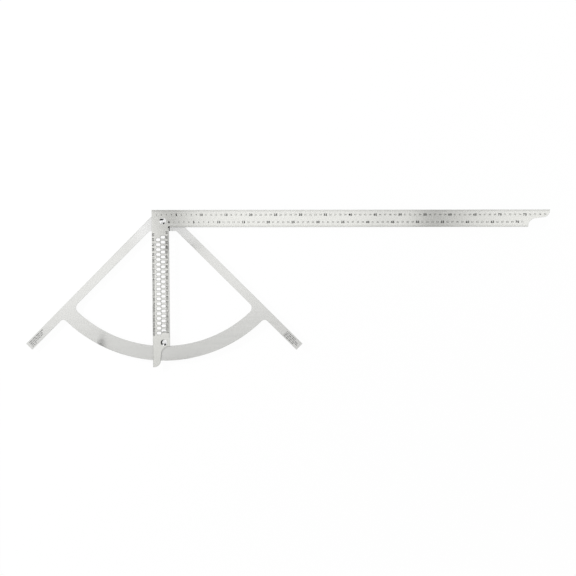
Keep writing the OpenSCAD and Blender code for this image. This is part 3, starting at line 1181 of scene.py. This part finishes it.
@dataclass
class Studio:
    """Floor, light panel, cards, lamp, surroundings and camera.

    The panel's seams run out between the two values of Y of the seam fade. A fall of its light says how far
    down, towards -Y, the light starts to drop, how far down it ends, and the share that is lost. Falls come
    sooner by the shear for each unit of X, up to the shear's end.
    """

    white: tuple[float, float, float, float] = (1.0, 1.0, 1.0, 1.0)
    floor_level: float = -1.0 * MM
    floor_size: float = 60.0
    floor_tone: Colour = (0.96, 0.96, 0.96)
    floor_glow: float = 0.95
    panel_level: float = 0.5
    panel_low: Pair = (-0.75, -0.8)
    panel_high: Pair = (1.3, 0.3)
    blade_line: float = -24 * MM
    seams: tuple[Seam, ...] = (
        Seam(centre=-0.028, lean=-0.06, widths=(0.036, 0.036), power=1.0, depth=0.68),
        Seam(centre=0.31, lean=0.0, widths=(0.09, 0.09), power=2.0, depth=0.06),
        Seam(centre=0.465, lean=0.10, widths=(0.07, 0.06), power=2.0, depth=0.22),
        Seam(centre=0.567, lean=0.10, widths=(0.042, 0.13), power=2.0, depth=0.66),
    )
    seam_fade: Pair = (-0.22, -0.02)
    falls: tuple[Triple, ...] = ((0.185, 0.29, 0.28), (0.32, 0.38, 0.14))
    shear: float = 0.10
    shear_end: float = 0.2
    dome_r: float = 9.7 * MM
    card_foot: float = 12 * MM
    card_glow: float = 0.01
    lamp_size: float = 0.12
    lamp_power: float = 9.0
    lamp_place: Triple = (-1.0, 0.25, 0.62)
    lamp_aim: Triple = (0.05, -0.1, 0.0)
    camera_place: Triple = (0.3095, 0.1942, 3.2252)
    camera_turn_deg: Triple = (-5.8576, 1.017, -0.0797)
    focal_pixels: float = 1600.0
    sensor_mm: float = 36.0

    def build(self) -> None:
        """Builds the studio."""
        self.floor()
        self.panel()
        self.cards()
        self.lamp()
        self.surroundings()
        self.camera()

    @staticmethod
    def sheet(name: str, corners: list[Vector], material: bpy.types.Material) -> bpy.types.Object:
        """Adds a flat sheet that isn't part of the object.

        Args:
            name: Name of the sheet.
            corners: Its corners, in order.
            material: Its material.

        Returns:
            The object.
        """
        mesh = bpy.data.meshes.new(name)
        mesh.from_pydata(corners, [], [tuple(range(len(corners)))])
        mesh.materials.append(material)
        sheet = bpy.data.objects.new(name, mesh)
        bpy.context.scene.collection.objects.link(sheet)
        return sheet

    @staticmethod
    def level_corners(low: Pair, high: Pair, level: float) -> list[Vector]:
        """Returns the corners of a level rectangle from its lowest and highest one."""
        turns = ((low[0], low[1]), (high[0], low[1]), (high[0], high[1]), (low[0], high[1]))
        return [Vector((x, y, level)) for x, y in turns]

    @staticmethod
    def seen_by_eye(nodes: Nodes) -> bpy.types.NodeSocket:
        """Picks out the rays that show the floor to the camera, straight or mirrored.

        Args:
            nodes: Nodes of the floor's material.

        Returns:
            A mask that is 1 for camera, glossy and transmitted rays.
        """
        path = nodes.add("ShaderNodeLightPath").outputs
        direct = nodes.math("MAXIMUM", path["Is Camera Ray"], path["Is Glossy Ray"])
        return nodes.math("MAXIMUM", direct, path["Is Transmission Ray"])

    def floor(self) -> None:
        """Lays a plain white floor that keeps the object's shadow and is open to a view from below."""
        material, nodes = empty_material("studio_floor")
        matt = nodes.add("ShaderNodeBsdfDiffuse", {"Color": (*self.floor_tone, 1.0)}).outputs[0]
        white = nodes.add("ShaderNodeEmission", {"Color": self.white, "Strength": 1.0}).outputs[0]
        share = nodes.math("MULTIPLY", self.seen_by_eye(nodes), self.floor_glow)
        above = nodes.add("ShaderNodeMixShader", {0: share, 1: matt, 2: white}).outputs[0]
        behind = nodes.add("ShaderNodeNewGeometry").outputs["Backfacing"]
        clear = nodes.add("ShaderNodeBsdfTransparent").outputs[0]
        floor = nodes.add("ShaderNodeMixShader", {0: behind, 1: above, 2: clear}).outputs[0]
        nodes.add("ShaderNodeOutputMaterial", {"Surface": floor})
        half = self.floor_size / 2
        corners = self.level_corners((-half, -half), (half, half), self.floor_level)
        self.sheet("studio_floor", corners, material)

    def panel(self) -> None:
        """Hangs a large soft light panel over the tool, dimmer along seams that show in the brushed blade."""
        material, nodes = empty_material("studio_panel")
        place = nodes.add("ShaderNodeTexCoord").outputs["Object"]
        spot = nodes.add("ShaderNodeSeparateXYZ", {0: place}).outputs
        sooner = nodes.math("MULTIPLY", nodes.math("MINIMUM", spot[0], self.shear_end), self.shear)
        down = nodes.math("SUBTRACT", sooner, spot[1])
        losses = [self.seam_loss(nodes, spot, seam) for seam in self.seams]
        losses += [nodes.remap(down, start, end, 0.0, depth) for start, end, depth in self.falls]
        left: float | bpy.types.NodeSocket = 1.0
        for loss in losses:
            left = nodes.math("MULTIPLY", left, nodes.math("SUBTRACT", 1.0, loss))
        light = nodes.add("ShaderNodeEmission", {"Color": self.white, "Strength": left}).outputs[0]
        nodes.add("ShaderNodeOutputMaterial", {"Surface": light})
        corners = self.level_corners(self.panel_low, self.panel_high, self.panel_level)
        panel = self.sheet("studio_panel", corners, material)
        panel.visible_camera = False
        panel.visible_shadow = False

    def seam_loss(self, nodes: Nodes, spot: bpy.types.NodeOutputs, seam: Seam) -> bpy.types.NodeSocket:
        """Works out how much of the panel's light a seam takes.

        Args:
            nodes: Nodes of the panel's material.
            spot: Sockets of the place on the panel.
            seam: The seam.

        Returns:
            The share of light that is taken away.
        """
        beyond = nodes.math("SUBTRACT", spot[1], self.blade_line)
        middle = nodes.math("MULTIPLY_ADD", beyond, seam.lean, seam.centre)
        aside = nodes.math("SUBTRACT", spot[0], middle)
        before = nodes.math("DIVIDE", nodes.math("MINIMUM", aside, 0.0), seam.widths[0])
        after = nodes.math("DIVIDE", nodes.math("MAXIMUM", aside, 0.0), seam.widths[1])
        off = nodes.math("ADD", before, after)
        fall = nodes.math("POWER", nodes.math("MULTIPLY_ADD", off, off, 1.0), seam.power)
        taken = nodes.remap(spot[1], *self.seam_fade, 0.0, seam.depth)
        return nodes.math("DIVIDE", taken, fall)

    def mirrored(self, card: Card, spot: Pair) -> Vector:
        """Finds what the camera sees in a spot of a polished head.

        Args:
            card: The card, which names the head.
            spot: Place on the head, from its axis, in millimetres.

        Returns:
            The place on the card's plane, or above the sheets if the mirrored ray runs lower.
        """
        low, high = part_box(card.head)
        middle = (low + high) / 2
        side = Vector((*spot, 0.0)) * MM
        rise = math.sqrt(self.dome_r**2 - side.length_squared)
        normal = Vector((side.x, side.y, rise)) / self.dome_r
        place = Vector((middle.x, middle.y, high.z - self.dome_r)) + normal * self.dome_r
        eye = (Vector(self.camera_place) - place).normalized()
        ray = 2 * normal.dot(eye) * normal - eye
        axis = card.across.value
        seen = place + ray * ((card.distance - place[axis]) / ray[axis])
        seen.z = max(seen.z, self.card_foot)
        return seen

    def cards(self) -> None:
        """Sets dark cards beside the tool, clear of its sheets, for the polished heads to mirror."""
        material, nodes = empty_material("studio_card")
        glow = {"Color": self.white, "Strength": self.card_glow}
        dark = nodes.add("ShaderNodeEmission", glow).outputs[0]
        nodes.add("ShaderNodeOutputMaterial", {"Surface": dark})
        cards = (
            Card("studio_card_back", "pivot_bolt", Axis.Y, 60 * MM,
                 ((-6.3, 0.9), (-4.4, 4.6), (-1.0, 5.2), (3.2, 4.2), (3.2, 3.6), (-0.5, 1.9), (-3.4, 1.4))),
            Card("studio_card_window", "pivot_bolt", Axis.Y, -60 * MM,
                 ((0.4, -2.8), (0.5, -5.8), (3.7, -5.0), (4.4, -2.6))),
            Card("studio_card_inner", "clamp_bolt", Axis.X, -50 * MM,
                 ((-6.4, 0.6), (-2.4, 5.9), (-1.8, 3.9), (-3.6, 0.6))),
            Card("studio_card_left", "clamp_bolt", Axis.X, -140 * MM,
                 ((-6.4, 0.6), (-3.6, 0.6), (-1.9, -2.4), (-3.4, -5.3))),
            Card("studio_card_front", "clamp_bolt", Axis.Y, -305 * MM,
                 ((0.4, -3.0), (0.6, -6.0), (4.8, -4.2), (3.6, -1.4))),
        )
        for card in cards:
            corners = [self.mirrored(card, spot) for spot in card.spots]
            sheet = self.sheet(card.name, corners, material)
            sheet.visible_camera = False
            sheet.visible_diffuse = False
            sheet.visible_shadow = False

    def lamp(self) -> None:
        """Sets a small lamp on the left, which draws a shadow beside the leg but no glint in the steel."""
        data = bpy.data.lights.new("studio_lamp", "AREA")
        data.shape = "DISK"
        data.size = self.lamp_size
        data.energy = self.lamp_power
        lamp = bpy.data.objects.new("studio_lamp", data)
        place = Vector(self.lamp_place)
        lamp.location = place
        lamp.visible_glossy = False
        lamp.rotation_euler = (Vector(self.lamp_aim) - place).to_track_quat("-Z", "Y").to_euler()
        bpy.context.scene.collection.objects.link(lamp)

    def surroundings(self) -> None:
        """Gives the studio plain white walls."""
        world = bpy.data.worlds.new("studio_surroundings")
        bpy.context.scene.world = world
        world.use_nodes = True
        world.node_tree.nodes.clear()
        nodes = Nodes(world.node_tree)
        light = nodes.add("ShaderNodeBackground", {"Color": self.white, "Strength": 1.0}).outputs[0]
        nodes.add("ShaderNodeOutputWorld", {"Surface": light})

    def camera(self) -> None:
        """Sets the camera high above the tool, a little beyond the blade."""
        data = bpy.data.cameras.new("studio_camera")
        data.sensor_width = self.sensor_mm
        data.lens = self.focal_pixels * data.sensor_width / IMAGE_PIXELS
        camera = bpy.data.objects.new("studio_camera", data)
        turn = Vector(math.radians(a) for a in self.camera_turn_deg)
        spin = Matrix.Rotation(turn.length, 4, turn.normalized())
        camera.matrix_world = Matrix.Translation(self.camera_place) @ spin
        bpy.context.scene.collection.objects.link(camera)
        bpy.context.scene.camera = camera


def main() -> None:
    """Dresses the part and sets up the studio."""
    logging.basicConfig(level=logging.INFO, format="%(message)s")
    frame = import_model()
    bpy.context.scene.view_settings.view_transform = "Standard"
    finishes = Finishes()
    digits = Digits()
    nodes = frame["nodes"]
    Square().dress(nodes, finishes, digits)
    Protractor().dress(nodes, finishes, digits)
    Clamp().dress(nodes, finishes)
    Studio().build()


if __name__ == "__main__":
    main()
